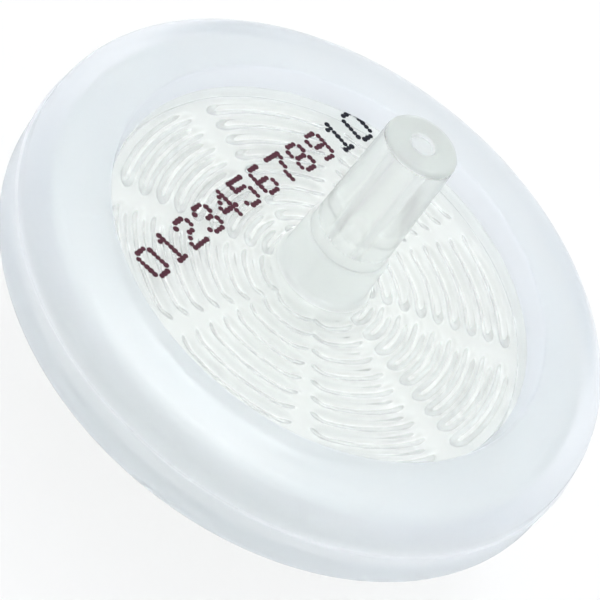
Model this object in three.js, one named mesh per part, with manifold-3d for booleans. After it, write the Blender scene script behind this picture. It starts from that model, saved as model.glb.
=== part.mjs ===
// Disposable syringe filter, 33 mm class, outlet side up.
//
// Five pieces, stacked along +Z from the inlet to the outlet:
//   inlet_housing   moulded disc with a female luer-lock neck below it
//   prefilter_disc  glass-fibre disc that lies on the inlet ribs
//   membrane_disc   fine membrane, pinched at its rim between the two housings
//   outlet_housing  moulded window with support ribs inside and a male luer nozzle on top
//   overmould_ring  ring moulded round both flanges, which holds the stack shut
//
// Millimetres, +Z up. The origin is the centre of the flat end of the inlet neck, and the
// filter stands on that end.

import * as THREE from 'three';
import { mergeVertices } from 'three/addons/utils/BufferGeometryUtils.js';
import Module from 'manifold-3d';

const wasm = await Module();
wasm.setup();

// Filter stack, from the inside of the inlet plate upwards.
const INLET_PLATE = 1.0; // thickness of the inlet disc
const INLET_RIB_HEIGHT = 0.45;
const PREFILTER_THICKNESS = 0.4;
const MEMBRANE_THICKNESS = 0.15;
const OUTLET_RIB_HEIGHT = 0.45;
const OUTLET_PLATE = 1.0; // thickness of the window

// Radii of the stack. The chamber sets the filtering area and carries the rest outwards.
const CHAMBER_RADIUS = 11.75;
const PREFILTER_POCKET = 0.25; // the inlet pocket is this much wider than the chamber
const SEAL_WIDTH = 1.15; // membrane rim held between the housings
const FLANGE_WIDTH = 2.0; // welded land outside the membrane
const DISC_CLEARANCE = 0.1; // radial room round each filter disc

// Overmoulded ring.
const RING_WALL = 1.5; // outside the flanges, at the widest place
const RIM_HEIGHT = 1.25; // rim above the window
const LIP_OVERLAP = 0.2; // the lip starts this far outside the chamber
const LIP_SLOPE = 0.39; // how far the lip's inner face leans out
const LIP_EDGE = 0.12;
const SHOULDER_WIDTH = 1.5; // rounded outer edge of the rim
const SHOULDER_HEIGHT = 1.35;
const WALL_DRAFT = 0.12;
const PARTING_DEPTH = 2.1; // mould parting line below the rim
const PARTING_STEP = 0.13; // the lower mould half is this much wider
const PARTING_RISE = 0.05;
const LOWER_LIP = 0.9; // ring material under the flanges
const LOWER_LIP_REACH = 1.8; // how far that lip covers the inlet flange
const RING_FOOT_RADIUS = 0.55;

// Outlet nozzle, a male luer slip cone.
const LUER_TAPER = 0.03; // radius per unit of length: the 6 % luer cone
const TIP_RADIUS = 1.965;
const CONE_LENGTH = 7.5;
const TIP_EDGE = 0.3;
const NOZZLE_ABOVE_RIM = 9.0;
const HUB_STEP = 0.2; // shoulder between the cone and its hub
const HUB_EDGE = 0.12;
const HUB_DRAFT = 0.15;
const HUB_FILLET = 0.6;
const BORE_TIP_RADIUS = 0.68;
const BORE_ROOT_RADIUS = 0.6;
const OUTLET_ORIFICE = 0.45; // radius of the hole through the window
const ORIFICE_LENGTH = 3.2; // from the roof of the chamber to the bore

// Support ribs inside the window.
const SECTORS = 8;
const CHANNEL_ANGLE = 9; // degrees left open between sectors, a drain channel that widens outwards
const RIB_PITCH = 1.0;
const RIB_WIDTH = 0.5;
const COLLECTOR_WIDTH = 0.5; // free groove round the outermost rib
const SUMP_RADIUS = 2.6; // no ribs inside this radius

// Inlet neck, a female luer lock.
const NECK_LENGTH = 8.5;
const NECK_RADIUS = 3.3;
const NECK_DRAFT = 0.2;
const NECK_EDGE = 0.2;
const NECK_FILLET = 0.8;
const SOCKET_MOUTH_RADIUS = 2.14;
const SOCKET_DEPTH = 7.6;
const SOCKET_CHAMFER = 0.15;
const INLET_ORIFICE = 0.9;
const LUG_SPAN_RADIUS = 3.9;
const LUG_WIDTH = 3.6;
const LUG_THICKNESS = 1.1;
const LUG_CORNER = 0.3;

// Radial spreader ribs inside the inlet plate, alternately long and short.
const SPREADERS = 16;
const SPREADER_WIDTH = 0.6;
const LONG_SPREADER_START = 2.2;
const SHORT_SPREADER_START = 5.6;

// Facets.
const RING_STEPS = 64;
const NECK_STEPS = 40;
const PROFILE_STEPS = 2; // half the number of chords in each arc of a revolved profile
const OUTLINE_STEPS = 2; // half the number of chords in each arc of an extruded outline
const WELD = 0.2; // depth to which joined shapes run into each other
const MERGE_TOLERANCE = 1e-4;

// Heights.
const inletUnderside = NECK_LENGTH;
const inletFloor = inletUnderside + INLET_PLATE;
const prefilterBottom = inletFloor + INLET_RIB_HEIGHT;
const membraneBottom = prefilterBottom + PREFILTER_THICKNESS;
const membraneTop = membraneBottom + MEMBRANE_THICKNESS;
const outletRoof = membraneTop + OUTLET_RIB_HEIGHT;
const windowTop = outletRoof + OUTLET_PLATE;
const rimTop = windowTop + RIM_HEIGHT;
const nozzleTop = rimTop + NOZZLE_ABOVE_RIM;

// Radii.
const prefilterPocketRadius = CHAMBER_RADIUS + PREFILTER_POCKET;
const membraneRadius = CHAMBER_RADIUS + SEAL_WIDTH;
const membranePocketRadius = membraneRadius + DISC_CLEARANCE;
const flangeRadius = membranePocketRadius + FLANGE_WIDTH;
const ringRadius = flangeRadius + RING_WALL;
const lowerLipRadius = flangeRadius - LOWER_LIP_REACH;

// ---------------------------------------------------------------- shape helpers

function toSolid(geometry) {
  geometry.deleteAttribute('normal');
  geometry.deleteAttribute('uv');
  const merged = mergeVertices(geometry, MERGE_TOLERANCE);
  const index = merged.index.array;
  const triangles = [];
  for (let i = 0; i < index.length; i += 3) {
    const corners = [index[i], index[i + 1], index[i + 2]];
    if (new Set(corners).size === 3) {
      triangles.push(...corners);
    }
  }
  const mesh = new wasm.Mesh({
    numProp: 3,
    vertProperties: Float32Array.from(merged.attributes.position.array),
    triVerts: Uint32Array.from(triangles),
  });
  return new wasm.Manifold(mesh);
}

// Revolves a closed profile of (radius, height) points round the Z axis.
function revolve(profile, steps) {
  const geometry = new THREE.LatheGeometry(profile.getPoints(PROFILE_STEPS), steps);
  geometry.rotateX(Math.PI / 2);
  return toSolid(geometry);
}

// Raises a flat outline from `bottom` by `height`, then turns it about the Z axis.
function extrude(shape, bottom, height, turn) {
  const options = { depth: height, bevelEnabled: false, curveSegments: OUTLINE_STEPS };
  const geometry = new THREE.ExtrudeGeometry(shape, options);
  geometry.translate(0, 0, bottom);
  geometry.rotateZ(turn);
  return toSolid(geometry);
}

function joinAll(solids) {
  return solids.reduce((joined, next) => joined.add(next));
}

function namedMesh(name, solid, material) {
  const source = solid.getMesh();
  const geometry = new THREE.BufferGeometry();
  geometry.setAttribute('position', new THREE.BufferAttribute(source.vertProperties, 3));
  geometry.setIndex(new THREE.BufferAttribute(source.triVerts, 1));
  geometry.computeVertexNormals();
  const mesh = new THREE.Mesh(geometry, material);
  mesh.name = name;
  return mesh;
}

// ---------------------------------------------------------------- outlet housing

// Window disc with its flange: flat on top, with the shallow filter chamber below.
function windowPlate() {
  const profile = new THREE.Path();
  profile.moveTo(WELD + OUTLET_ORIFICE, outletRoof);
  profile.lineTo(CHAMBER_RADIUS, outletRoof);
  profile.lineTo(CHAMBER_RADIUS, membraneTop);
  profile.lineTo(flangeRadius, membraneTop);
  profile.lineTo(flangeRadius, windowTop);
  profile.lineTo(WELD + OUTLET_ORIFICE, windowTop);
  profile.lineTo(WELD + OUTLET_ORIFICE, outletRoof);
  return revolve(profile, RING_STEPS);
}

// Luer slip cone on a short wider hub, with a stepped bore down to the chamber.
function nozzle() {
  const coneFoot = nozzleTop - CONE_LENGTH;
  const coneFootRadius = TIP_RADIUS + LUER_TAPER * CONE_LENGTH;
  const hubTopRadius = coneFootRadius + HUB_STEP;
  const hubFootRadius = hubTopRadius + HUB_DRAFT;
  const boreBottom = outletRoof + ORIFICE_LENGTH;
  const profile = new THREE.Path();
  profile.moveTo(OUTLET_ORIFICE, outletRoof);
  profile.lineTo(hubFootRadius + HUB_FILLET, outletRoof);
  profile.lineTo(hubFootRadius + HUB_FILLET, windowTop);
  profile.absarc(hubFootRadius + HUB_FILLET, windowTop + HUB_FILLET, HUB_FILLET,
    -Math.PI / 2, -Math.PI, true);
  profile.lineTo(hubTopRadius, coneFoot - HUB_EDGE);
  profile.absarc(hubTopRadius - HUB_EDGE, coneFoot - HUB_EDGE, HUB_EDGE, 0, Math.PI / 2, false);
  profile.lineTo(coneFootRadius, coneFoot);
  profile.lineTo(TIP_RADIUS, nozzleTop - TIP_EDGE);
  profile.absarc(TIP_RADIUS - TIP_EDGE, nozzleTop - TIP_EDGE, TIP_EDGE, 0, Math.PI / 2, false);
  profile.lineTo(BORE_TIP_RADIUS, nozzleTop);
  profile.lineTo(BORE_ROOT_RADIUS, boreBottom);
  profile.lineTo(OUTLET_ORIFICE, boreBottom);
  profile.lineTo(OUTLET_ORIFICE, outletRoof);
  return revolve(profile, NECK_STEPS);
}

// Outline of one curved rib with round ends: a bar bent along an arc across the +X axis.
function ribOutline(radius, halfSpan) {
  const half = RIB_WIDTH / 2;
  const endX = radius * Math.cos(halfSpan);
  const endY = radius * Math.sin(halfSpan);
  const shape = new THREE.Shape();
  shape.absarc(0, 0, radius + half, -halfSpan, halfSpan, false);
  shape.absarc(endX, endY, half, halfSpan, halfSpan + Math.PI, false);
  shape.absarc(0, 0, radius - half, halfSpan, -halfSpan, true);
  shape.absarc(endX, -endY, half, Math.PI - halfSpan, 2 * Math.PI - halfSpan, false);
  return shape;
}

// Concentric ribs cut into sectors by radial channels. The ends of a sector's ribs lie on two radii.
function supportRibs() {
  const ribs = [];
  const outermost = CHAMBER_RADIUS - COLLECTOR_WIDTH - RIB_WIDTH / 2;
  const sectorAngle = (2 * Math.PI) / SECTORS;
  const ribbedAngle = sectorAngle - THREE.MathUtils.degToRad(CHANNEL_ANGLE);
  for (let radius = outermost; radius - RIB_WIDTH / 2 > SUMP_RADIUS; radius -= RIB_PITCH) {
    const halfSpan = ribbedAngle / 2 - Math.asin(RIB_WIDTH / 2 / radius);
    const outline = ribOutline(radius, halfSpan);
    for (let sector = 0; sector < SECTORS; sector++) {
      ribs.push(extrude(outline, membraneTop, OUTLET_RIB_HEIGHT + WELD, sector * sectorAngle));
    }
  }
  return ribs;
}

function outletHousing() {
  return joinAll([windowPlate(), nozzle(), ...supportRibs()]);
}

// ---------------------------------------------------------------- inlet housing

// Disc with a pocket for the prefilter and a shallow seat for the membrane's rim.
function inletPlate() {
  const inner = INLET_ORIFICE + WELD;
  const profile = new THREE.Path();
  profile.moveTo(inner, inletUnderside);
  profile.lineTo(lowerLipRadius, inletUnderside);
  profile.lineTo(lowerLipRadius, inletFloor);
  profile.lineTo(flangeRadius, inletFloor);
  profile.lineTo(flangeRadius, membraneTop);
  profile.lineTo(membranePocketRadius, membraneTop);
  profile.lineTo(membranePocketRadius, membraneBottom);
  profile.lineTo(prefilterPocketRadius, membraneBottom);
  profile.lineTo(prefilterPocketRadius, inletFloor);
  profile.lineTo(inner, inletFloor);
  profile.lineTo(inner, inletUnderside);
  return revolve(profile, RING_STEPS);
}

// Female luer neck: a tapered socket with a lead-in chamfer, and a fillet under the disc.
function inletNeck() {
  const socketBottomRadius = SOCKET_MOUTH_RADIUS - LUER_TAPER * SOCKET_DEPTH;
  const rootRadius = NECK_RADIUS + NECK_DRAFT;
  const profile = new THREE.Path();
  profile.moveTo(SOCKET_MOUTH_RADIUS + SOCKET_CHAMFER, 0);
  profile.lineTo(NECK_RADIUS - NECK_EDGE, 0);
  profile.absarc(NECK_RADIUS - NECK_EDGE, NECK_EDGE, NECK_EDGE, -Math.PI / 2, 0, false);
  profile.lineTo(rootRadius, inletUnderside - NECK_FILLET);
  profile.absarc(rootRadius + NECK_FILLET, inletUnderside - NECK_FILLET, NECK_FILLET,
    Math.PI, Math.PI / 2, true);
  profile.lineTo(rootRadius + NECK_FILLET, inletFloor);
  profile.lineTo(INLET_ORIFICE, inletFloor);
  profile.lineTo(INLET_ORIFICE, SOCKET_DEPTH);
  profile.lineTo(socketBottomRadius, SOCKET_DEPTH);
  profile.lineTo(SOCKET_MOUTH_RADIUS, SOCKET_CHAMFER);
  profile.lineTo(SOCKET_MOUTH_RADIUS + SOCKET_CHAMFER, 0);
  return revolve(profile, NECK_STEPS);
}

// One luer-lock lug, flush with the end of the neck.
function lockLug(turn) {
  const half = LUG_WIDTH / 2;
  const edge = half - LUG_CORNER;
  const cornerReach = Math.sqrt(LUG_SPAN_RADIUS ** 2 - half ** 2) - LUG_CORNER / 2;
  const edgeAngle = Math.asin(edge / LUG_SPAN_RADIUS);
  const root = SOCKET_MOUTH_RADIUS + SOCKET_CHAMFER + WELD;
  const shape = new THREE.Shape();
  shape.moveTo(root, -half);
  shape.lineTo(cornerReach, -half);
  shape.absarc(0, 0, LUG_SPAN_RADIUS, -edgeAngle, edgeAngle, false);
  shape.lineTo(cornerReach, half);
  shape.lineTo(root, half);
  shape.lineTo(root, -half);
  return extrude(shape, 0, LUG_THICKNESS, turn);
}

// Straight radial rib with round ends. Even ones are long, odd ones short.
function spreaderRib(number) {
  const start = number % 2 === 0 ? LONG_SPREADER_START : SHORT_SPREADER_START;
  const end = prefilterPocketRadius - COLLECTOR_WIDTH;
  const half = SPREADER_WIDTH / 2;
  const shape = new THREE.Shape();
  shape.absarc(end - half, 0, half, -Math.PI / 2, Math.PI / 2, false);
  shape.absarc(start + half, 0, half, Math.PI / 2, 1.5 * Math.PI, false);
  const turn = (number * 2 * Math.PI) / SPREADERS;
  return extrude(shape, inletFloor - WELD, INLET_RIB_HEIGHT + WELD, turn);
}

function inletHousing() {
  const spreaders = Array.from({ length: SPREADERS }, (_, number) => spreaderRib(number));
  return joinAll([inletPlate(), inletNeck(), lockLug(0), lockLug(Math.PI), ...spreaders]);
}

// ---------------------------------------------------------------- overmoulded ring

function overmouldRing() {
  const lipFoot = CHAMBER_RADIUS + LIP_OVERLAP;
  const lipTop = lipFoot + LIP_SLOPE;
  const shoulderOuter = ringRadius - PARTING_STEP - WALL_DRAFT;
  const shoulderInner = shoulderOuter - SHOULDER_WIDTH;
  const partingZ = rimTop - PARTING_DEPTH;
  const ringFoot = inletFloor - LOWER_LIP;
  const profile = new THREE.Path();
  profile.moveTo(lowerLipRadius, ringFoot);
  profile.lineTo(ringRadius - RING_FOOT_RADIUS, ringFoot);
  profile.absarc(ringRadius - RING_FOOT_RADIUS, ringFoot + RING_FOOT_RADIUS, RING_FOOT_RADIUS,
    -Math.PI / 2, 0, false);
  profile.lineTo(ringRadius, partingZ);
  profile.lineTo(ringRadius - PARTING_STEP, partingZ + PARTING_RISE);
  profile.absellipse(shoulderInner, rimTop - SHOULDER_HEIGHT, SHOULDER_WIDTH, SHOULDER_HEIGHT,
    0, Math.PI / 2, false, 0);
  profile.lineTo(lipTop + LIP_EDGE, rimTop);
  profile.lineTo(lipTop, rimTop - LIP_EDGE);
  profile.lineTo(lipFoot, windowTop);
  profile.lineTo(flangeRadius, windowTop);
  profile.lineTo(flangeRadius, inletFloor);
  profile.lineTo(lowerLipRadius, inletFloor);
  profile.lineTo(lowerLipRadius, ringFoot);
  return revolve(profile, RING_STEPS);
}

// ---------------------------------------------------------------- filter discs

function filterDisc(radius, bottom, thickness) {
  const profile = new THREE.Path();
  profile.moveTo(0, bottom);
  profile.lineTo(radius, bottom);
  profile.lineTo(radius, bottom + thickness);
  profile.lineTo(0, bottom + thickness);
  return revolve(profile, RING_STEPS);
}

// ---------------------------------------------------------------- assembly

const housingPlastic = new THREE.MeshStandardMaterial({
  color: 0xe2eaea,
  roughness: 0.3,
  metalness: 0,
  transparent: true,
  opacity: 0.55,
});
const ringPlastic = new THREE.MeshStandardMaterial({ color: 0xe6edf1, roughness: 0.35, metalness: 0 });
const membraneFibre = new THREE.MeshStandardMaterial({ color: 0xfbfbf8, roughness: 0.9, metalness: 0 });
const glassFibre = new THREE.MeshStandardMaterial({ color: 0xf5f5f1, roughness: 1, metalness: 0 });

const prefilterRadius = prefilterPocketRadius - DISC_CLEARANCE;
const prefilterDisc = filterDisc(prefilterRadius, prefilterBottom, PREFILTER_THICKNESS);
const membraneDisc = filterDisc(membraneRadius, membraneBottom, MEMBRANE_THICKNESS);

const filter = new THREE.Group();
filter.add(
  namedMesh('inlet_housing', inletHousing(), housingPlastic),
  namedMesh('prefilter_disc', prefilterDisc, glassFibre),
  namedMesh('membrane_disc', membraneDisc, membraneFibre),
  namedMesh('outlet_housing', outletHousing(), housingPlastic),
  namedMesh('overmould_ring', overmouldRing(), ringPlastic),
);

export default filter;
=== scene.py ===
import math

import bmesh
import bpy
from mathutils import Matrix, Vector


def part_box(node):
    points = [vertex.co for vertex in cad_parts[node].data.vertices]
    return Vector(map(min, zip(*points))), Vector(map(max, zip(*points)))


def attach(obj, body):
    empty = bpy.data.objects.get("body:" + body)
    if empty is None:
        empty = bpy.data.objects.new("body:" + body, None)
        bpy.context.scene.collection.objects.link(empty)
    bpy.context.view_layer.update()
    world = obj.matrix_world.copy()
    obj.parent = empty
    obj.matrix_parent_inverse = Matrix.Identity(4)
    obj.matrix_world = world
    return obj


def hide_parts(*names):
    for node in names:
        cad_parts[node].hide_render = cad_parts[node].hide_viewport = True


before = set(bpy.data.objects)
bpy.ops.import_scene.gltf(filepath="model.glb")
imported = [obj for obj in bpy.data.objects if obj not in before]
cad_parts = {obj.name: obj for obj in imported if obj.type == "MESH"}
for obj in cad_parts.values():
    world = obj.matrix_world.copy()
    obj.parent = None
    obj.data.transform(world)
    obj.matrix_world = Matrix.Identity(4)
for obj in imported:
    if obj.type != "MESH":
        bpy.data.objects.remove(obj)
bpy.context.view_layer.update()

MM = 0.001

# ------------------------------------------------------------------ inlet housing
# The lower half is one injection moulding in natural polypropylene: a disc with a pocket for
# the prefilter, sixteen low spreader ribs on its floor, and a female luer-lock neck below it.

AIR_FILM = 0.015  # mouldings that bear on each other keep this thin film of air, in mm
inlet_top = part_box("inlet_housing")[1].z / MM
flange_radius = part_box("inlet_housing")[1].x / MM
membrane_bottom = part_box("membrane_disc")[0].z / MM
prefilter_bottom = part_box("prefilter_disc")[0].z / MM
spreader_height, inlet_wall = 0.45, 1.0
inlet_floor = prefilter_bottom - spreader_height
inlet_underside = inlet_floor - inlet_wall
ring_lip_radius = flange_radius - 1.8
pocket_radius, seat_radius = 12.0, 13.0


def rounded(corners, facet=0.12, hold=0.08):
    """Points of a profile whose corners are (radius, height, edge radius), in millimetres.
    An arc has chords of about one facet, and a point just past it keeps the next face flat."""
    points = []
    for i, (r, z, edge) in enumerate(corners):
        here = Vector((r, z))
        if edge == 0:
            points.append(here)
            continue
        before = (Vector(corners[i - 1][:2]) - here).normalized()
        after = (Vector(corners[(i + 1) % len(corners)][:2]) - here).normalized()
        half = before.angle(after) / 2
        centre = here + (before + after).normalized() * edge / math.sin(half)
        start = here + before * edge / math.tan(half) - centre
        turn = math.copysign(math.pi - 2 * half, after.cross(before))
        arc_steps = max(3, round(edge * abs(turn) / facet))
        arc = [centre + Matrix.Rotation(turn * i / arc_steps, 2) @ start for i in range(arc_steps + 1)]
        points += [arc[0] + before * hold, *arc, arc[-1] + after * hold] if edge > hold / 2 else arc
    return points


def evenly(steps):
    """Angles in radians that part a full turn evenly."""
    return [2 * math.pi * i / steps for i in range(steps)]


def revolve(name, profile, angles):
    """A closed body from a profile that runs counter-clockwise, with the axis on its left."""
    vertices, faces, rings, steps = [], [], [], len(angles)
    for r, z in profile:
        if r < 1e-6:
            rings.append([len(vertices)] * steps)
            vertices.append((0, 0, z * MM))
            continue
        rings.append([len(vertices) + i for i in range(steps)])
        vertices += [(r * MM * math.cos(a), r * MM * math.sin(a), z * MM) for a in angles]
    ends_on_axis = profile[0][0] < 1e-6
    for j in range(len(rings) - ends_on_axis):
        low, high = rings[j], rings[(j + 1) % len(rings)]
        for i in range(steps):
            k = (i + 1) % steps
            corners = tuple(dict.fromkeys((low[i], low[k], high[k], high[i])))
            if len(corners) > 2:
                faces.append(corners)
    mesh = bpy.data.meshes.new(name)
    mesh.from_pydata(vertices, [], faces)
    mesh.shade_smooth()
    mesh.set_sharp_from_angle(angle=math.radians(40))
    piece = bpy.data.objects.new(name, mesh)
    bpy.context.scene.collection.objects.link(piece)
    return piece


def divided(start, end, step):
    """Values from start to end, both included, about one step apart."""
    count = max(1, round(abs(end - start) / step))
    return [start + (end - start) * i / count for i in range(count + 1)]


def mark_face(piece, height, inner, outer):
    """Marks the flat ring between two radii, which a rib tree then raises."""
    mark = piece.data.attributes.new("rib_face", "FLOAT", "POINT")
    for vertex, value in zip(piece.data.vertices, mark.data):
        radius = vertex.co.to_2d().length / MM
        on_face = abs(vertex.co.z / MM - height) < 1e-3 and inner < radius < outer
        value.value = 1.0 if on_face else 0.0


def calculate(tree, operation, *values):
    """One Math node. Each value is a number or the output of another node."""
    node = tree.nodes.new("ShaderNodeMath")
    node.operation = operation
    for socket, value in zip(node.inputs, values):
        if isinstance(value, (int, float)):
            socket.default_value = value
        else:
            tree.links.new(value, socket)
    return node.outputs[0]


def rib_tree(name, inputs):
    """An empty rib tree with named inputs, and its polar coordinates: (tree, inputs, r, angle)."""
    tree = bpy.data.node_groups.new(name, "GeometryNodeTree")
    tree.interface.new_socket("Geometry", in_out="INPUT", socket_type="NodeSocketGeometry")
    for label in inputs:
        tree.interface.new_socket(label, in_out="INPUT", socket_type="NodeSocketFloat")
    tree.interface.new_socket("Material", in_out="INPUT", socket_type="NodeSocketMaterial")
    tree.interface.new_socket("Geometry", in_out="OUTPUT", socket_type="NodeSocketGeometry")
    group = tree.nodes.new("NodeGroupInput")
    place = tree.nodes.new("ShaderNodeSeparateXYZ")
    tree.links.new(tree.nodes.new("GeometryNodeInputPosition").outputs[0], place.inputs[0])
    x, y = place.outputs[0], place.outputs[1]
    squares = calculate(
        tree, "ADD", calculate(tree, "MULTIPLY", x, x), calculate(tree, "MULTIPLY", y, y))
    radius = calculate(tree, "SQRT", squares)
    angle = calculate(tree, "ARCTAN2", y, x)
    return tree, group.outputs, radius, angle


def raise_ribs(tree, inputs, across, beyond):
    """Moves the marked face where a rib stands, given the distance across and past its ends."""
    squares = calculate(
        tree, "ADD", calculate(tree, "MULTIPLY", across, across),
        calculate(tree, "MULTIPLY", beyond, beyond))
    outside = calculate(
        tree, "SUBTRACT", calculate(tree, "SQRT", squares),
        calculate(tree, "MULTIPLY", inputs["Rib Width"], 0.5))
    flank = tree.nodes.new("ShaderNodeMapRange")
    flank.interpolation_type = "SMOOTHSTEP"
    tree.links.new(outside, flank.inputs["Value"])
    tree.links.new(calculate(tree, "MULTIPLY", inputs["Flank"], -0.5), flank.inputs["From Min"])
    tree.links.new(calculate(tree, "MULTIPLY", inputs["Flank"], 0.5), flank.inputs["From Max"])
    flank.inputs["To Min"].default_value = 1
    flank.inputs["To Max"].default_value = 0
    lift = tree.nodes.new("ShaderNodeCombineXYZ")
    tree.links.new(calculate(tree, "MULTIPLY", flank.outputs[0], inputs["Rib Height"]), lift.inputs[2])
    face = tree.nodes.new("GeometryNodeInputNamedAttribute")
    face.data_type = "FLOAT"
    face.inputs["Name"].default_value = "rib_face"
    move = tree.nodes.new("GeometryNodeSetPosition")
    tree.links.new(inputs["Geometry"], move.inputs["Geometry"])
    tree.links.new(calculate(tree, "GREATER_THAN", face.outputs[0], 0.5), move.inputs["Selection"])
    tree.links.new(lift.outputs[0], move.inputs["Offset"])
    end_tree(tree, move.outputs[0], inputs["Material"])


def end_tree(tree, geometry, material):
    """Ends a tree in Realize Instances and Set Material."""
    real = tree.nodes.new("GeometryNodeRealizeInstances")
    paint = tree.nodes.new("GeometryNodeSetMaterial")
    out = tree.nodes.new("NodeGroupOutput")
    tree.links.new(geometry, real.inputs[0])
    tree.links.new(real.outputs[0], paint.inputs["Geometry"])
    tree.links.new(material, paint.inputs["Material"])
    tree.links.new(paint.outputs[0], out.inputs[0])


def grow(piece, tree, values):
    """Runs a tree on a piece with the given inputs and keeps the result as a plain mesh."""
    modifier = piece.modifiers.new(tree.name, "NODES")
    modifier.node_group = tree
    for item in tree.interface.items_tree:
        if item.in_out == "INPUT" and item.name in values:
            modifier[item.identifier] = values[item.name]
    settle(piece)


def settle(piece):
    """Turns a piece and its modifiers into a plain mesh."""
    depsgraph = bpy.context.evaluated_depsgraph_get()
    mesh = bpy.data.meshes.new_from_object(piece.evaluated_get(depsgraph))
    piece.modifiers.clear()
    piece.data = mesh


def polymer_cloud():
    """Shader group: slow milky clouding in a moulding, from 0 to 1."""
    group = bpy.data.node_groups.new("polymer_cloud", "ShaderNodeTree")
    group.interface.new_socket("Scale", in_out="INPUT", socket_type="NodeSocketFloat")
    group.interface.new_socket("Contrast", in_out="INPUT", socket_type="NodeSocketFloat")
    group.interface.new_socket("Cloud", in_out="OUTPUT", socket_type="NodeSocketFloat")
    start, end = group.nodes.new("NodeGroupInput"), group.nodes.new("NodeGroupOutput")
    coordinates = group.nodes.new("ShaderNodeTexCoord")
    noise = group.nodes.new("ShaderNodeTexNoise")
    noise.inputs["Detail"].default_value = 3
    noise.inputs["Distortion"].default_value = 0.6
    group.links.new(coordinates.outputs["Object"], noise.inputs["Vector"])
    group.links.new(start.outputs["Scale"], noise.inputs["Scale"])
    centred = calculate(group, "SUBTRACT", noise.outputs[0], 0.5)
    spread = calculate(group, "MULTIPLY", centred, start.outputs["Contrast"])
    cloud = calculate(group, "ADD", spread, 0.5)
    cloud.node.use_clamp = True
    group.links.new(cloud, end.inputs[0])
    return group


def moulded_skin():
    """Shader group: the faint grain and waviness that a steel mould leaves, as a normal."""
    group = bpy.data.node_groups.new("moulded_skin", "ShaderNodeTree")
    for label in ("Grain Scale", "Grain Depth", "Wave Scale", "Wave Depth"):
        group.interface.new_socket(label, in_out="INPUT", socket_type="NodeSocketFloat")
    group.interface.new_socket("Normal", in_out="OUTPUT", socket_type="NodeSocketVector")
    group.interface.new_socket("Grain", in_out="OUTPUT", socket_type="NodeSocketFloat")
    start, end = group.nodes.new("NodeGroupInput"), group.nodes.new("NodeGroupOutput")
    coordinates = group.nodes.new("ShaderNodeTexCoord")
    heights = []
    for label in ("Grain", "Wave"):
        noise = group.nodes.new("ShaderNodeTexNoise")
        noise.inputs["Detail"].default_value = 2
        group.links.new(coordinates.outputs["Object"], noise.inputs["Vector"])
        group.links.new(start.outputs[label + " Scale"], noise.inputs["Scale"])
        heights.append(calculate(group, "MULTIPLY", noise.outputs[0], start.outputs[label + " Depth"]))
        if label == "Grain":
            group.links.new(noise.outputs[0], end.inputs["Grain"])
    bump = group.nodes.new("ShaderNodeBump")
    bump.inputs["Distance"].default_value = 1.0
    group.links.new(calculate(group, "ADD", *heights), bump.inputs["Height"])
    group.links.new(bump.outputs[0], end.inputs["Normal"])
    return group


TALLEST = 25.0  # height in mm at the end of the scale of a polish
cloud_group = polymer_cloud()
skin_group = moulded_skin()


def polypropylene(name, dense, thin, clearness, polish, depth_tint, grain_depth):
    """Natural polypropylene: two near tints mixed by clouding, partly clear, with a fine skin.
    Polish gives (height, roughness) stops in rising order, and depth_tint the colour of its depth."""
    material = bpy.data.materials.new(name)
    material.use_nodes = True
    nodes, links = material.node_tree.nodes, material.node_tree.links
    surface = nodes["Principled BSDF"]
    surface.inputs["IOR"].default_value = 1.49
    surface.inputs["Transmission Weight"].default_value = clearness
    cloud = nodes.new("ShaderNodeGroup")
    cloud.node_tree = cloud_group
    cloud.inputs["Scale"].default_value = 260
    cloud.inputs["Contrast"].default_value = 2.2
    tint = nodes.new("ShaderNodeMix")
    tint.data_type = "RGBA"
    tint.inputs["A"].default_value = (*dense, 1)
    tint.inputs["B"].default_value = (*thin, 1)
    links.new(cloud.outputs["Cloud"], tint.inputs["Factor"])
    links.new(tint.outputs["Result"], surface.inputs["Base Color"])
    skin = nodes.new("ShaderNodeGroup")
    skin.node_tree = skin_group
    skin.inputs["Grain Scale"].default_value = 9000
    skin.inputs["Grain Depth"].default_value = grain_depth
    skin.inputs["Wave Scale"].default_value = 420
    skin.inputs["Wave Depth"].default_value = grain_depth * 6
    links.new(skin.outputs["Normal"], surface.inputs["Normal"])
    place = nodes.new("ShaderNodeTexCoord")
    height = nodes.new("ShaderNodeSeparateXYZ")
    links.new(place.outputs["Object"], height.inputs[0])
    mould_finish = nodes.new("ShaderNodeValToRGB")
    stops = mould_finish.color_ramp.elements
    stops.remove(stops[1])
    for n, (stop_height, roughness) in enumerate(polish):
        stop = stops[0] if n == 0 else stops.new(stop_height / TALLEST)
        stop.position = stop_height / TALLEST
        stop.color = (roughness, roughness, roughness, 1)
    share = calculate(material.node_tree, "DIVIDE", height.outputs["Z"], TALLEST * MM)
    links.new(share, mould_finish.inputs[0])
    gloss = nodes.new("ShaderNodeMapRange")
    gloss.inputs["To Min"].default_value = 0.8
    gloss.inputs["To Max"].default_value = 1.2
    links.new(skin.outputs["Grain"], gloss.inputs["Value"])
    rough = calculate(material.node_tree, "MULTIPLY", mould_finish.outputs["Color"], gloss.outputs[0])
    links.new(rough, surface.inputs["Roughness"])
    depth = nodes.new("ShaderNodeVolumeAbsorption")
    depth.inputs["Color"].default_value = (*depth_tint, 1)
    depth.inputs["Density"].default_value = 40
    links.new(depth.outputs[0], nodes["Material Output"].inputs["Volume"])
    return material


def finish_piece(piece, node, material):
    """Gives a piece its finish and its body, and hides the imported part of the node that it stands for.
    """
    piece.data.materials.clear()
    piece.data.materials.append(material)
    piece.data.set_sharp_from_angle(angle=math.radians(40))
    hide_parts(node)
    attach(piece, "root")


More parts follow.
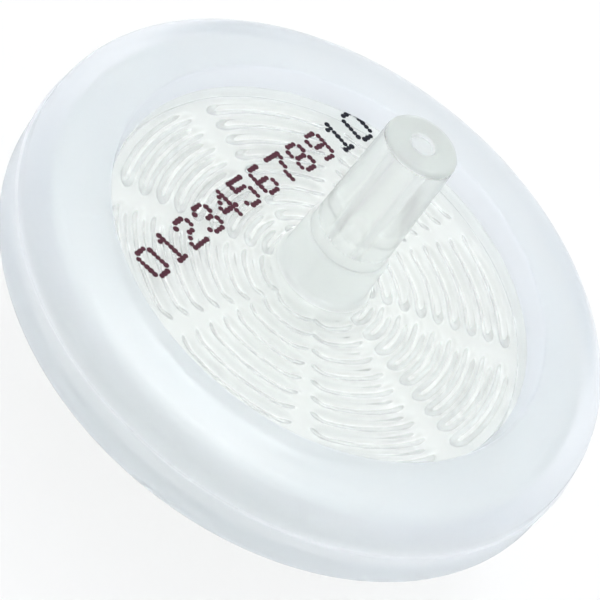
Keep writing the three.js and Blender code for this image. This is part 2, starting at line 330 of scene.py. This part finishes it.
# The polish follows the height: the inlet neck, the inlet disc's outer face, its inner faces,
# the ribs and the roof over the membrane, the window, the hub, the nozzle's cone, and its tip.
membrane_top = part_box("membrane_disc")[1].z / MM
window_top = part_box("overmould_ring")[1].z / MM - 1.25
roof = window_top - 1.0
nozzle_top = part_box("outlet_housing")[1].z / MM
cone_length = 7.5
cone_foot = nozzle_top - cone_length
housing_polish = (
    (0, 0.3), (inlet_underside - 0.2, 0.3),
    (inlet_underside - 0.05, 0.1), (inlet_underside + 0.1, 0.1),
    (inlet_floor - 0.1, 0.3), (membrane_top - 0.1, 0.3),
    (membrane_top, 0.6), (membrane_top + 0.15, 0.6), (roof - 0.05, 0.5), (roof + 0.35, 0.4),
    (window_top - 0.25, 0.1), (window_top + 0.01, 0.1),
    (window_top + 0.04, 0.32), (cone_foot + 0.5, 0.32),
    (cone_foot + 1.3, 0.2), (nozzle_top - 0.3, 0.2),
    (nozzle_top - 0.1, 0.4))
clear_housing = polypropylene(
    "housing_polypropylene", (0.985, 0.99, 0.98), (0.998, 1.0, 0.994), 0.82, housing_polish,
    (0.88, 0.97, 0.94), 5.0e-8)

socket_mouth, socket_depth, luer_taper, orifice = 2.14, 7.6, 0.03, 0.9
neck_end, neck_root = 3.3, 3.5
floor_radii = divided(pocket_radius, orifice, 0.2)[1:-1]
inlet_profile = rounded([
    (socket_mouth + 0.15, 0, 0.04),
    (neck_end, 0, 0.2),
    (neck_root, inlet_underside, 0.8),
    (ring_lip_radius - AIR_FILM, inlet_underside, 0.12),
    (ring_lip_radius - AIR_FILM, inlet_floor + AIR_FILM, 0),
    (flange_radius - AIR_FILM, inlet_floor + AIR_FILM, 0.05),
    (flange_radius - AIR_FILM, inlet_top - AIR_FILM, 0.05),
    (seat_radius, inlet_top - AIR_FILM, 0.03),
    (seat_radius, membrane_bottom - AIR_FILM, 0.03),
    (pocket_radius, membrane_bottom - AIR_FILM, 0.08),
    (pocket_radius, inlet_floor, 0.1),
    *[(r, inlet_floor, 0) for r in floor_radii],
    (orifice, inlet_floor, 0.12),
    (orifice, socket_depth, 0.12),
    (socket_mouth - luer_taper * socket_depth, socket_depth, 0.1),
    (socket_mouth, 0.15, 0.04),
])
inlet_housing = revolve("inlet_housing_moulding", inlet_profile, evenly(288))

spreader_tree, spreader, radius, angle = rib_tree(
    "spreader_ribs", ("Ribs", "Rib Width", "Rib Height", "Flank", "Long Start", "Short Start", "End"))
spacing = calculate(spreader_tree, "DIVIDE", 2 * math.pi, spreader["Ribs"])
number = calculate(spreader_tree, "ROUND", calculate(spreader_tree, "DIVIDE", angle, spacing))
rib_line = calculate(spreader_tree, "MULTIPLY", number, spacing)
off_line = calculate(spreader_tree, "SUBTRACT", angle, rib_line)
short = calculate(spreader_tree, "ABSOLUTE", calculate(spreader_tree, "MODULO", number, 2))
shift = calculate(spreader_tree, "SUBTRACT", spreader["Short Start"], spreader["Long Start"])
begin = calculate(
    spreader_tree, "ADD", spreader["Long Start"], calculate(spreader_tree, "MULTIPLY", short, shift))
along = calculate(spreader_tree, "MULTIPLY", radius, calculate(spreader_tree, "COSINE", off_line))
short_of = calculate(spreader_tree, "SUBTRACT", begin, along)
past = calculate(spreader_tree, "SUBTRACT", along, spreader["End"])
raise_ribs(
    spreader_tree, spreader,
    calculate(spreader_tree, "MULTIPLY", radius, calculate(spreader_tree, "SINE", off_line)),
    calculate(spreader_tree, "MAXIMUM", calculate(spreader_tree, "MAXIMUM", short_of, past), 0))
mark_face(inlet_housing, inlet_floor, orifice + 0.3, pocket_radius - 0.2)
grow(inlet_housing, spreader_tree, {
    "Ribs": 16.0, "Rib Width": 0.6 * MM, "Rib Height": (spreader_height - 0.02) * MM, "Flank": 0.16 * MM,
    "Long Start": 2.5 * MM, "Short Start": 5.9 * MM, "End": 11.2 * MM, "Material": clear_housing})

lug_reach, lug_height, lug_half_width, lug_edge = 3.9, 1.1, 1.8, 0.12
lug_root, lug_corner = 2.6, 3.35
for side in (1, -1):
    lug_mesh = bmesh.new()
    outline = [(lug_root, -lug_half_width), (lug_corner, -lug_half_width)]
    outline += [(lug_reach * math.cos(math.radians(a)), lug_reach * math.sin(math.radians(a)))
                for a in range(-24, 25, 4)]
    outline += [(lug_corner, lug_half_width), (lug_root, lug_half_width)]
    corners = [lug_mesh.verts.new((side * x * MM, side * y * MM, 0)) for x, y in outline]
    base = lug_mesh.faces.new(corners)
    top = bmesh.ops.extrude_face_region(lug_mesh, geom=[base])["geom"]
    raised = [v for v in top if isinstance(v, bmesh.types.BMVert)]
    bmesh.ops.translate(lug_mesh, vec=(0, 0, lug_height * MM), verts=raised)
    bmesh.ops.bevel(
        lug_mesh, geom=lug_mesh.edges[:], offset=lug_edge * MM, segments=3, affect="EDGES", profile=0.5)
    bmesh.ops.recalc_face_normals(lug_mesh, faces=lug_mesh.faces[:])
    lug_data = bpy.data.meshes.new("lug")
    lug_mesh.to_mesh(lug_data)
    lug_mesh.free()
    lug = bpy.data.objects.new("lug", lug_data)
    bpy.context.scene.collection.objects.link(lug)
    joint = inlet_housing.modifiers.new("lug", "BOOLEAN")
    joint.operation = "UNION"
    joint.solver = "EXACT"
    joint.object = lug
    settle(inlet_housing)
    bpy.data.objects.remove(lug)
finish_piece(inlet_housing, "inlet_housing", clear_housing)

# ------------------------------------------------------------------ prefilter disc
# A die-cut disc of binder-free glass-fibre mat that lies in the inlet pocket and holds back
# coarse particles. Its cut edge is soft and its faces show the matted fibres.

prefilter_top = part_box("prefilter_disc")[1].z / MM
prefilter_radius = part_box("prefilter_disc")[1].x / MM
prefilter = revolve("glass_fibre_prefilter", rounded([
    (0, prefilter_bottom + AIR_FILM, 0),
    *[(r, prefilter_bottom + AIR_FILM, 0) for r in divided(0, prefilter_radius - 0.5, 1.0)[1:]],
    (prefilter_radius, prefilter_bottom + AIR_FILM, 0.15),
    (prefilter_radius, prefilter_top - AIR_FILM, 0.15),
    (0, prefilter_top - AIR_FILM, 0),
]), evenly(128))


def matt_fibre(name, colour, shade, scale, depth, stretch, see_through):
    """A matt white filter medium: fine mottling and relief, with no gloss."""
    material = bpy.data.materials.new(name)
    material.use_nodes = True
    nodes, links = material.node_tree.nodes, material.node_tree.links
    surface = nodes["Principled BSDF"]
    surface.inputs["Roughness"].default_value = 0.9
    surface.inputs["Specular IOR Level"].default_value = 0.2
    coordinates = nodes.new("ShaderNodeTexCoord")
    mapping = nodes.new("ShaderNodeMapping")
    mapping.inputs["Scale"].default_value = (1, stretch, 1)
    noise = nodes.new("ShaderNodeTexNoise")
    noise.inputs["Scale"].default_value = scale
    noise.inputs["Detail"].default_value = 6
    tint = nodes.new("ShaderNodeMix")
    tint.data_type = "RGBA"
    tint.inputs["A"].default_value = (*shade, 1)
    tint.inputs["B"].default_value = (*colour, 1)
    bump = nodes.new("ShaderNodeBump")
    bump.inputs["Distance"].default_value = depth
    links.new(coordinates.outputs["Object"], mapping.inputs["Vector"])
    links.new(mapping.outputs[0], noise.inputs["Vector"])
    links.new(noise.outputs[0], tint.inputs["Factor"])
    links.new(tint.outputs["Result"], surface.inputs["Base Color"])
    links.new(noise.outputs[0], bump.inputs["Height"])
    links.new(bump.outputs[0], surface.inputs["Normal"])
    through = nodes.new("ShaderNodeBsdfTranslucent")
    links.new(tint.outputs["Result"], through.inputs["Color"])
    both = nodes.new("ShaderNodeMixShader")
    both.inputs["Fac"].default_value = see_through
    links.new(surface.outputs[0], both.inputs[1])
    links.new(through.outputs[0], both.inputs[2])
    links.new(both.outputs[0], nodes["Material Output"].inputs["Surface"])
    return material


finish_piece(prefilter, "prefilter_disc", matt_fibre(
    "glass_fibre", (0.97, 0.97, 0.95), (0.90, 0.90, 0.88), 2600, 6e-5, 0.25, 0.4))

# ------------------------------------------------------------------ membrane disc
# A die-cut disc of cast cellulose membrane, pure matt white, laid on the prefilter. The two
# housings pinch its rim, and the ribs of the window bear on it.

membrane_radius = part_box("membrane_disc")[1].x / MM
membrane = revolve("cellulose_membrane", rounded([
    (0, membrane_bottom, 0),
    *[(r, membrane_bottom, 0) for r in divided(0, 11.5, 1.0)[1:]],
    (membrane_radius, membrane_bottom, 0.02),
    (membrane_radius, membrane_top - AIR_FILM, 0.02),
    *[(r, membrane_top - AIR_FILM, 0) for r in divided(11.5, 1.5, 1.0)],
    (0, membrane_top - AIR_FILM, 0),
]), evenly(128))
finish_piece(membrane, "membrane_disc", matt_fibre(
    "cellulose_film", (0.985, 0.985, 0.975), (0.96, 0.965, 0.955), 5200, 1e-5, 1, 0.05))

# ------------------------------------------------------------------ outlet housing
# The upper half is one clear moulding: window, welded flange, hub and male luer nozzle. Inside
# it, rows of concentric ribs in eight sectors hold the membrane up and drain it to the bore.

tip_radius, hub_step = 1.965, 0.2
cone_foot_radius = tip_radius + luer_taper * cone_length
chamber_radius, window_radius = 11.75, 11.91
drain, bore_foot, bore_mouth, bore_start = 0.45, 0.6, 0.68, roof + 3.2
outermost_rib, sump, rib_pitch, rib_width, rib_height = 11.0, 2.85, 1.0, 0.5, 0.43
rib_flank, end_slope, channel_angle, sectors = 0.4, 0.4, 9, 8
rib_rows = int((outermost_rib - sump) / rib_pitch) + 1
half_rib, quarter_flank = rib_width / 2, rib_flank / 4
flank_steps = [half_rib + quarter_flank * i for i in (-2, -1, 0, 1, 2)]
across_rib = [-rib_pitch / 2, *[-w for w in reversed(flank_steps)], 0, *flank_steps]
roof_radii = [1.0, 1.6, 2.1]
for row in range(rib_rows - 1, -1, -1):
    roof_radii += [outermost_rib - row * rib_pitch + across for across in across_rib]

# The mesh is fine round the turn only where the ribs end, on both sides of each channel.
quarter_turns = [
    0, 1, 2, *divided(2.8, 6.4, 0.3), *divided(6.4, 11, 0.6)[1:], *divided(11, 22.5, 1.9)[1:]]
rib_angles = []
for sector in range(sectors):
    middle = (sector + 0.5) * 360 / sectors
    rib_angles += [middle - a for a in quarter_turns[:0:-1]] + [middle + a for a in quarter_turns[:-1]]
rib_angles = [math.radians(a) for a in rib_angles]
outlet_profile = rounded([
    (drain, roof, 0.06),
    *[(r, roof, 0) for r in roof_radii],
    (chamber_radius, roof, 0.06),
    (chamber_radius, membrane_top + AIR_FILM, 0.04),
    (flange_radius - AIR_FILM, membrane_top + AIR_FILM, 0),
    (flange_radius - AIR_FILM, window_top - AIR_FILM, 0),
    (window_radius + 0.02, window_top - AIR_FILM, 0),
    (window_radius, window_top, 0),
    *[(r, window_top, 0) for r in divided(11.5, 3.5, 0.8)],
    (cone_foot_radius + hub_step + 0.1, window_top, 0.4),
    (cone_foot_radius + hub_step, cone_foot, 0.18),
    (cone_foot_radius, cone_foot, 0),
    (tip_radius, nozzle_top, 0.3),
    (bore_mouth, nozzle_top, 0.06),
    (bore_foot, bore_start, 0),
    (drain, bore_start, 0.03),
])
outlet_housing = revolve("outlet_housing_moulding", outlet_profile, rib_angles)

support_tree, support, radius, angle = rib_tree("support_ribs", (
    "Sectors", "Outermost Radius", "Sump Radius", "Rib Pitch", "Rib Width", "Rib Height", "Flank",
    "Channel Angle", "End Slope"))
half_sector = calculate(support_tree, "DIVIDE", math.pi, support["Sectors"])
folded = calculate(
    support_tree, "WRAP", angle, half_sector, calculate(support_tree, "MULTIPLY", half_sector, -1))
inward = calculate(support_tree, "SUBTRACT", support["Outermost Radius"], radius)
row = calculate(
    support_tree, "MAXIMUM",
    calculate(support_tree, "ROUND", calculate(support_tree, "DIVIDE", inward, support["Rib Pitch"])), 0)
room = calculate(support_tree, "SUBTRACT", support["Outermost Radius"], support["Sump Radius"])
last_row = calculate(
    support_tree, "FLOOR", calculate(support_tree, "DIVIDE", room, support["Rib Pitch"]))
row = calculate(support_tree, "MINIMUM", row, last_row)
rib_radius = calculate(
    support_tree, "SUBTRACT", support["Outermost Radius"],
    calculate(support_tree, "MULTIPLY", row, support["Rib Pitch"]))
half_channel = calculate(support_tree, "MULTIPLY", support["Channel Angle"], 0.5)
ribbed = calculate(support_tree, "SUBTRACT", half_sector, half_channel)
nose = calculate(support_tree, "MULTIPLY", support["Rib Width"], 0.5)
half_bar = calculate(
    support_tree, "SUBTRACT", calculate(support_tree, "MULTIPLY", rib_radius, ribbed),
    calculate(support_tree, "DIVIDE", nose, support["End Slope"]))
from_middle = calculate(
    support_tree, "ABSOLUTE", calculate(support_tree, "MULTIPLY", radius, folded))
past_bar = calculate(
    support_tree, "MAXIMUM", calculate(support_tree, "SUBTRACT", from_middle, half_bar), 0)
raise_ribs(
    support_tree, support,
    calculate(support_tree, "SUBTRACT", radius, rib_radius),
    calculate(support_tree, "MULTIPLY", support["End Slope"], past_bar))
mark_face(outlet_housing, roof, 1.0, chamber_radius - 0.2)
grow(outlet_housing, support_tree, {
    "Sectors": float(sectors), "Outermost Radius": outermost_rib * MM, "Sump Radius": sump * MM,
    "Rib Pitch": rib_pitch * MM, "Rib Width": rib_width * MM, "Rib Height": -rib_height * MM,
    "Flank": rib_flank * MM, "Channel Angle": math.radians(channel_angle), "End Slope": end_slope,
    "Material": clear_housing})
finish_piece(outlet_housing, "outlet_housing", clear_housing)

# ------------------------------------------------------------------ printed figures
# A row of plain figures, jetted on the window as separate ink dots by a marking machine. The
# dots of a stroke run together up the figure and stay apart across it.

FIGURES = {
    "0": ("01110", "10001", "10001", "10001", "10001", "10001", "01110"),
    "1": ("00100", "01100", "00100", "00100", "00100", "00100", "01110"),
    "2": ("01110", "10001", "00001", "00110", "01000", "10000", "11111"),
    "3": ("01110", "10001", "00001", "00110", "00001", "10001", "01110"),
    "4": ("00010", "00110", "01010", "10010", "11111", "00010", "00010"),
    "5": ("11111", "10000", "11110", "00001", "00001", "10001", "01110"),
    "6": ("01110", "10000", "10000", "11110", "10001", "10001", "01110"),
    "7": ("11111", "00001", "00010", "00010", "00100", "00100", "00100"),
    "8": ("01110", "10001", "10001", "01110", "10001", "10001", "01110"),
    "9": ("01110", "10001", "10001", "01111", "00001", "00001", "01110"),
}


def ink(name, colour):
    """Solvent ink: dark, slightly uneven, and a little glossier than the plastic under it."""
    material = bpy.data.materials.new(name)
    material.use_nodes = True
    nodes, links = material.node_tree.nodes, material.node_tree.links
    surface = nodes["Principled BSDF"]
    surface.inputs["Roughness"].default_value = 0.4
    surface.inputs["Specular IOR Level"].default_value = 0.15
    cloud = nodes.new("ShaderNodeGroup")
    cloud.node_tree = cloud_group
    cloud.inputs["Scale"].default_value = 5000
    cloud.inputs["Contrast"].default_value = 1.6
    tint = nodes.new("ShaderNodeMix")
    tint.data_type = "RGBA"
    tint.inputs["A"].default_value = (*colour, 1)
    tint.inputs["B"].default_value = (*[c * 2.2 for c in colour], 1)
    links.new(cloud.outputs["Cloud"], tint.inputs["Factor"])
    links.new(tint.outputs["Result"], surface.inputs["Base Color"])
    return material


def dot_tree():
    """Geometry Nodes: a flat ink dot on every point, sized by named inputs and a random spread."""
    tree = bpy.data.node_groups.new("ink_dots", "GeometryNodeTree")
    tree.interface.new_socket("Geometry", in_out="INPUT", socket_type="NodeSocketGeometry")
    for label in ("Dot Radius", "Ink Thickness", "Size Spread"):
        tree.interface.new_socket(label, in_out="INPUT", socket_type="NodeSocketFloat")
    tree.interface.new_socket("Material", in_out="INPUT", socket_type="NodeSocketMaterial")
    tree.interface.new_socket("Geometry", in_out="OUTPUT", socket_type="NodeSocketGeometry")
    start = tree.nodes.new("NodeGroupInput").outputs
    dot = tree.nodes.new("GeometryNodeMeshCylinder")
    dot.inputs["Vertices"].default_value = 14
    tree.links.new(start["Dot Radius"], dot.inputs["Radius"])
    tree.links.new(start["Ink Thickness"], dot.inputs["Depth"])
    spread = tree.nodes.new("FunctionNodeRandomValue")
    spread.inputs["Seed"].default_value = 7
    tree.links.new(calculate(tree, "SUBTRACT", 1, start["Size Spread"]), spread.inputs[2])
    tree.links.new(calculate(tree, "ADD", 1, start["Size Spread"]), spread.inputs[3])
    place = tree.nodes.new("GeometryNodeInstanceOnPoints")
    tree.links.new(start["Geometry"], place.inputs["Points"])
    tree.links.new(dot.outputs["Mesh"], place.inputs["Instance"])
    tree.links.new(spread.outputs[1], place.inputs["Scale"])
    end_tree(tree, place.outputs[0], start["Material"])
    return tree


def print_row(name, figures, first, heading, heading_end, advance, cell, material):
    """Dots of a row of figures along a gently bending line. Returns where the next one starts."""
    points, here = [], Vector(first)
    for n, figure in enumerate(figures):
        turn = heading + (heading_end - heading) * n / max(1, len(figures) - 1)
        forward = Vector((math.cos(turn), math.sin(turn)))
        up = Vector((-forward.y, forward.x))
        for line, pattern in enumerate(FIGURES[figure]):
            for column, filled in enumerate(pattern):
                if filled == "1":
                    dot = here + forward * cell[0] * (column - 2) + up * cell[1] * (3 - line)
                    points.append((dot.x * MM, dot.y * MM, (window_top + 0.006) * MM))
        here = here + forward * advance
    mesh = bpy.data.meshes.new(name)
    mesh.from_pydata(points, [], [])
    row_piece = bpy.data.objects.new(name, mesh)
    bpy.context.scene.collection.objects.link(row_piece)
    grow(row_piece, ink_tree, {
        "Dot Radius": 0.16 * MM, "Ink Thickness": 0.008 * MM, "Size Spread": 0.12, "Material": material})
    row_piece.data.materials.clear()
    row_piece.data.materials.append(material)
    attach(row_piece, "root")
    return here


ink_tree = dot_tree()
next_figure = print_row(
    "printed_figures_red", "0123456789", (-6.75, -7.4), math.radians(84), math.radians(76), 1.68,
    (0.25, 0.27), ink("maroon_ink", (0.045, 0.010, 0.018)))
print_row(
    "printed_figures_black", "10", next_figure, math.radians(76), math.radians(76), 1.75,
    (0.27, 0.29), ink("black_ink", (0.004, 0.004, 0.009)))

# ------------------------------------------------------------------ overmoulded ring
# A second shot of milky polypropylene, moulded round both flanges. It locks and seals the two
# halves. The mould's parting line shows as a fine step half-way down its side.

ring_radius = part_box("overmould_ring")[1].x / MM
ring_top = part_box("overmould_ring")[1].z / MM
ring_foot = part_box("overmould_ring")[0].z / MM
parting, parting_step, shoulder = ring_top - 2.1, 0.13, ring_radius - 0.25
recess_top_radius, recess_foot_radius = 12.34, 11.95
ring_profile = rounded([
    (ring_lip_radius, ring_foot, 0.1),
    (ring_radius, ring_foot, 0.55),
    (ring_radius, parting, 0.06),
    (ring_radius - parting_step, parting + 0.05, 0.04),
    (shoulder, ring_top, 1.4),
    (recess_top_radius, ring_top, 0.12),
    (recess_foot_radius, window_top + AIR_FILM, 0.02),
    (flange_radius + AIR_FILM, window_top + AIR_FILM, 0.04),
    (flange_radius + AIR_FILM, inlet_floor - AIR_FILM, 0.04),
    (ring_lip_radius, inlet_floor - AIR_FILM, 0.02),
])
ring = revolve("overmoulded_ring", ring_profile, evenly(320))
ring_plastic = polypropylene(
    "ring_polypropylene", (0.962, 0.974, 0.992), (0.984, 0.988, 0.998), 0.95, ((0, 0.34),),
    (0.72, 0.84, 0.95), 3.0e-8)
finish_piece(ring, "overmould_ring", ring_plastic)

# ------------------------------------------------------------------ bench, light and camera
# A plain white bench under soft studio light, and a long lens that looks down on the outlet.

bench_mesh = bpy.data.meshes.new("bench")
reach = 3.0
bench_mesh.from_pydata([(-reach, -reach, 0), (reach, -reach, 0), (reach, reach, 0), (-reach, reach, 0)],
                       [], [(0, 1, 2, 3)])
bench = bpy.data.objects.new("bench", bench_mesh)
bpy.context.scene.collection.objects.link(bench)


def seen_directly(tree):
    """1 for rays from the camera, and for those mirrored or passed on by the object."""
    path = tree.nodes.new("ShaderNodeLightPath").outputs
    bounced = calculate(tree, "MAXIMUM", path["Is Glossy Ray"], path["Is Transmission Ray"])
    return calculate(tree, "MAXIMUM", path["Is Camera Ray"], bounced)


bench_paint = bpy.data.materials.new("white_bench")
bench_paint.use_nodes = True
nodes, links = bench_paint.node_tree.nodes, bench_paint.node_tree.links
paper = nodes["Principled BSDF"]
paper.inputs["Base Color"].default_value = (0.9, 0.9, 0.9, 1)
paper.inputs["Roughness"].default_value = 0.8
glow = nodes.new("ShaderNodeEmission")
backdrop_share = 0.7
paint_tree = bench_paint.node_tree
share = calculate(paint_tree, "MULTIPLY", seen_directly(paint_tree), backdrop_share)
blend = nodes.new("ShaderNodeMixShader")
links.new(share, blend.inputs["Fac"])
links.new(paper.outputs[0], blend.inputs[1])
links.new(glow.outputs[0], blend.inputs[2])
side_seen = nodes.new("ShaderNodeNewGeometry")
open_below = nodes.new("ShaderNodeMixShader")
links.new(side_seen.outputs["Backfacing"], open_below.inputs["Fac"])
links.new(blend.outputs[0], open_below.inputs[1])
links.new(nodes.new("ShaderNodeBsdfTransparent").outputs[0], open_below.inputs[2])
links.new(open_below.outputs[0], nodes["Material Output"].inputs["Surface"])
bench.data.materials.append(bench_paint)

world = bpy.data.worlds.new("studio")
bpy.context.scene.world = world
world.use_nodes = True
nodes, links = world.node_tree.nodes, world.node_tree.links
room = nodes["Background"]
room.inputs["Strength"].default_value = 1.0
direction = nodes.new("ShaderNodeTexCoord")
towards = nodes.new("ShaderNodeVectorMath")
towards.operation = "DOT_PRODUCT"
towards.inputs[1].default_value = Vector((0.3, 0.45, 0.85)).normalized()
links.new(direction.outputs["Generated"], towards.inputs[0])
sky = nodes.new("ShaderNodeValToRGB")
sky.color_ramp.interpolation = "EASE"
sky.color_ramp.elements[0].position = 0.15
sky.color_ramp.elements[0].color = (0.84, 0.86, 0.88, 1)
sky.color_ramp.elements[1].position = 0.85
sky.color_ramp.elements[1].color = (0.95, 0.97, 0.99, 1)
spread = nodes.new("ShaderNodeMapRange")
spread.inputs["From Min"].default_value = -1
links.new(towards.outputs["Value"], spread.inputs["Value"])
links.new(spread.outputs[0], sky.inputs[0])
links.new(sky.outputs[0], room.inputs["Color"])

rim_centre = Vector((0, 0, ring_top * MM))


def softbox(name, azimuth, elevation, distance, size, power):
    """A square soft lamp aimed at the filter. Azimuth is measured from +X towards +Y."""
    light = bpy.data.lights.new(name, "AREA")
    light.size = size
    light.energy = power
    lamp = bpy.data.objects.new(name, light)
    bpy.context.scene.collection.objects.link(lamp)
    a, e = math.radians(azimuth), math.radians(elevation)
    back = Vector((math.cos(a) * math.cos(e), math.sin(a) * math.cos(e), math.sin(e)))
    lamp.location = rim_centre + back * distance
    lamp.rotation_euler = back.to_track_quat("Z", "Y").to_euler()


softbox("overhead_softbox", 105, 74, 0.5, 0.2, 0.6)

lens = bpy.data.cameras.new("camera")
lens.lens = 156
lens.clip_start = 0.01
camera = bpy.data.objects.new("camera", lens)
bpy.context.scene.collection.objects.link(camera)
bpy.context.scene.camera = camera
aim = Vector((0, -4.285, ring_top)) * MM
elevation, roll, distance = math.radians(42.18), math.radians(38.42), 127.7 * MM
back = Vector((0, -math.cos(elevation), math.sin(elevation)))
camera.rotation_mode = "QUATERNION"
camera.location = aim + back * distance
camera.rotation_quaternion = back.to_track_quat("Z", "Y") @ Matrix.Rotation(roll, 3, "Z").to_quaternion()

bpy.context.scene.view_settings.view_transform = "Standard"

# Light crosses many clear walls here, so its paths are long and stay unblurred.
light_paths = bpy.context.scene.cycles
light_paths.max_bounces = 32
light_paths.diffuse_bounces = 12
light_paths.glossy_bounces = 24
light_paths.transmission_bounces = 32
light_paths.blur_glossy = 0
